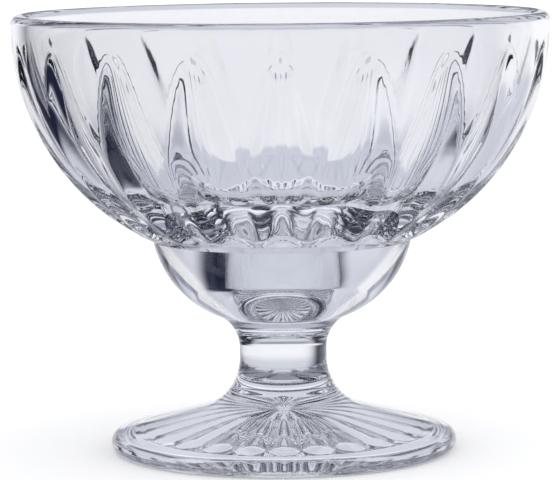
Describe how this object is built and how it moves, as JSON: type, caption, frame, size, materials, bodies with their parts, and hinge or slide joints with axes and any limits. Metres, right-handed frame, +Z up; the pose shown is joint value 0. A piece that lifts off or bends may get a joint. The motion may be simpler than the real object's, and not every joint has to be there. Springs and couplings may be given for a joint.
{
  "type": "parfait glass",
  "caption": "Footed parfait glass in clear pressed glass: wide fluted bowl on a rounded lower cup, short waisted stem and spreading foot with a petal star pressed underneath.",
  "frame": {"origin": "centre of the foot's resting ring, on the table", "axes": "+Z up along the axis of the glass; +X and +Y lie in the table and each points through the middle of a petal of the foot and the middle of a flute of the bowl"},
  "size_m": [0.115, 0.115, 0.0942],
  "materials": {
    "clear_glass": "clear pressed glass, fire polished, with a faint cool tint"
  },
  "bodies": {
    "root": {"bowl": "clear_glass", "lower_cup": "clear_glass", "stem": "clear_glass", "foot": "clear_glass"}
  },
  "joints": []
}
